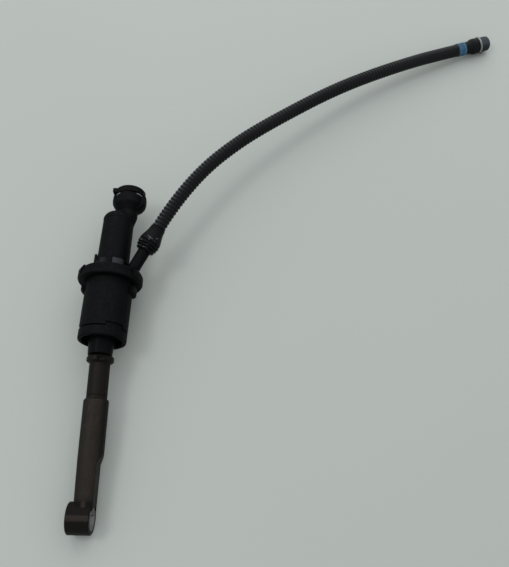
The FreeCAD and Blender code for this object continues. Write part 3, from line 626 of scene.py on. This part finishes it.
class CLUTCH_OT_tape(bpy.types.Operator):
    """Build the loose end of the blue tape, a pale wrap over the band's outer end"""

    bl_idname = "clutch.tape"
    bl_label = "Tape end"

    def execute(self, context):
        settings = context.scene.clutch_hose
        end, before = Vector(HOSE_ROUTE[-1]), Vector(HOSE_ROUTE[-2])
        direction = (end - before).normalized()
        path = [end - direction * place for place in TAPE_END_PLACES]

        def radius_at(s, total):
            at_edge = s in (0.0, total)
            return settings.outer_radius if at_edge else settings.outer_radius + TAPE_END_RISE

        mesh = tube_mesh("tape_end", path, radius_at, settings.segments)
        colour = [c * 1.5 + 0.012 for c in context.scene.clutch_finish.tape_colour]
        new_piece("tape_end", mesh, woven_tape("tape_pale", colour), "housing")
        return {"FINISHED"}


class CLUTCH_OT_spring(bpy.types.Operator):
    """Build the return spring as a fixed coil at the part's length; the real spring shortens as
    the plunger slides in
    """

    bl_idname = "clutch.spring"
    bl_label = "Return spring"

    def execute(self, context):
        low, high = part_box("return_spring")
        start, end = low.y + SPRING_WIRE_R, high.y - SPRING_WIRE_R
        radius = high.x - SPRING_WIRE_R
        count = SPRING_TURNS * SPRING_STEPS
        path = []
        for i in range(count + 1):
            angle = 2 * math.pi * i / SPRING_STEPS
            y = start + (end - start) * i / count
            path.append(Vector((radius * math.cos(angle), y, -radius * math.sin(angle))))
        mesh = tube_mesh("spring_coil", path, lambda s, total: SPRING_WIRE_R, SPRING_SEGMENTS)
        material = bright_metal("spring_steel", SPRING_STEEL, 0.3)
        spring = new_piece("spring_coil", mesh, material, "housing")
        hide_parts("return_spring")
        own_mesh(spring)
        return {"FINISHED"}


class CLUTCH_OT_boot(bpy.types.Operator):
    """Give the rubber boot that joins the hose to the inlet tube, and the hose's cuff, their
    rubber finishes
    """

    bl_idname = "clutch.boot"
    bl_label = "Hose boot"

    def execute(self, context):
        colour = context.scene.clutch_finish.body_colour
        dress("hose_boot", ribbed_rubber("boot_rubber", colour, 0.24, 0.07, 0.0009))
        dress("hose_cuff", ribbed_rubber("cuff_rubber", colour, 0.4, 0.12))
        return {"FINISHED"}


class CLUTCH_OT_finishes(bpy.types.Operator):
    """Give every node of the solid model its finish"""

    bl_idname = "clutch.finishes"
    bl_label = "Finishes"

    def execute(self, context):
        colours = context.scene.clutch_finish
        body = moulded_plastic("body_plastic", colours.body_colour)
        for node in ("mouth_ring", "pressure_cylinder", "inlet_tube"):
            dress(node, body)
        housing = moulded_plastic("housing_plastic", colours.body_colour, pad_highlights=COLLAR_PAD_HIGHLIGHTS)
        dress("outer_housing", housing)
        skirt = moulded_plastic("skirt_plastic", colours.body_colour, gloss=0.3, dust=0.0)
        for node in ("guide_skirt", "ball_retainer"):
            dress(node, skirt)
        dress("push_rod", fibre_plastic("rod_plastic", colours.rod_colour))
        dress("eye_bush", moulded_plastic("bush_plastic", colours.bush_colour, gloss=0.5))
        dress("end_plug", moulded_plastic("plug_plastic", colours.plug_colour, gloss=0.45))
        dress("hose_tape", woven_tape("tape_blue", colours.tape_colour))
        dress("crimp_ring", bright_metal("ring_metal", CRIMP_METAL, 0.3))
        clip = bright_metal("clip_wire", CLIP_METAL, 0.3, dark_above=CLIP_DARK_Z)
        dress("retaining_clip", clip)
        dress("stop_ring", bright_metal("blued_steel", BLUED_STEEL, 0.4))
        dress("plunger", bright_metal("plunger_metal", PLUNGER_METAL, 0.32, (1, 12, 1)))
        natural = moulded_plastic("guide_plastic", NATURAL_PLASTIC, gloss=0.4, dust=0.0)
        for node in ("seal_spacer", "spring_seat", "ball_collet"):
            dress(node, natural)
        seal = ribbed_rubber("seal_rubber", colours.body_colour, 0.4)
        for node in ("secondary_seal", "primary_seal", "outlet_seal", "inlet_grommet"):
            dress(node, seal)
        return {"FINISHED"}


class CLUTCH_OT_stage(bpy.types.Operator):
    """Set up the pale floor, the lamps and the world"""

    bl_idname = "clutch.stage"
    bl_label = "Stage"

    def execute(self, context):
        scene = context.scene
        bm = bmesh.new()
        corners = [(-1, -1), (1, -1), (1, 1), (-1, 1)]
        bm.faces.new([bm.verts.new((x * FLOOR_HALF, y * FLOOR_HALF, TABLE_Z)) for x, y in corners])
        mesh = bpy.data.meshes.new("floor")
        bm.to_mesh(mesh)
        bm.free()
        floor = bpy.data.objects.new("floor", mesh)
        scene.collection.objects.link(floor)
        mesh.materials.append(table_top("table_top", scene.clutch_finish.floor_colour))
        for lamp in LAMPS:
            self.lamp(*lamp)
        world = bpy.data.worlds.new("World")
        world.use_nodes = True
        sky = world.node_tree.nodes["Background"].inputs
        sky["Color"].default_value = SKY_COLOUR
        sky["Strength"].default_value = SKY_STRENGTH
        scene.world = world
        scene.view_settings.view_transform = "Standard"
        return {"FINISHED"}

    def lamp(self, name, place, size, power):
        data = bpy.data.lights.new(name, "AREA")
        data.size = size
        data.energy = power
        lamp = bpy.data.objects.new(name, data)
        bpy.context.scene.collection.objects.link(lamp)
        lamp.location = place
        aim = LAMP_AIM - Vector(place)
        lamp.rotation_euler = aim.to_track_quat("-Z", "Y").to_euler()


class CLUTCH_PT_panel(bpy.types.Panel):
    """Lists the settings and the steps that build the cylinder's looks"""

    bl_label = "Clutch cylinder"
    bl_idname = "CLUTCH_PT_panel"
    bl_space_type = "VIEW_3D"
    bl_region_type = "UI"
    bl_category = "Clutch cylinder"

    def draw(self, context):
        scene = context.scene
        for group in (scene.clutch_hose, scene.clutch_finish, scene.clutch_camera):
            for name in group.bl_rna.properties.keys():
                if name not in ("rna_type", "name"):
                    self.layout.prop(group, name)
        for operator in OPERATORS:
            self.layout.operator(operator.bl_idname)


GROUPS = {
    "clutch_hose": HoseSettings,
    "clutch_finish": FinishSettings,
    "clutch_camera": CameraSettings,
}
OPERATORS = [
    CLUTCH_OT_camera,
    CLUTCH_OT_tape,
    CLUTCH_OT_hose,
    CLUTCH_OT_spring,
    CLUTCH_OT_boot,
    CLUTCH_OT_finishes,
    CLUTCH_OT_stage,
]


def register():
    for name, group in GROUPS.items():
        bpy.utils.register_class(group)
        setattr(bpy.types.Scene, name, PointerProperty(type=group))
    for cls in [*OPERATORS, CLUTCH_PT_panel]:
        bpy.utils.register_class(cls)


def unregister():
    for cls in reversed([*OPERATORS, CLUTCH_PT_panel]):
        bpy.utils.unregister_class(cls)
    for name, group in GROUPS.items():
        delattr(bpy.types.Scene, name)
        bpy.utils.unregister_class(group)


def main():
    register()
    bpy.ops.clutch.camera()
    bpy.ops.clutch.tape()
    bpy.ops.clutch.hose()
    bpy.ops.clutch.spring()
    bpy.ops.clutch.boot()
    bpy.ops.clutch.finishes()
    bpy.ops.clutch.stage()


if __name__ == "__main__":
    main()
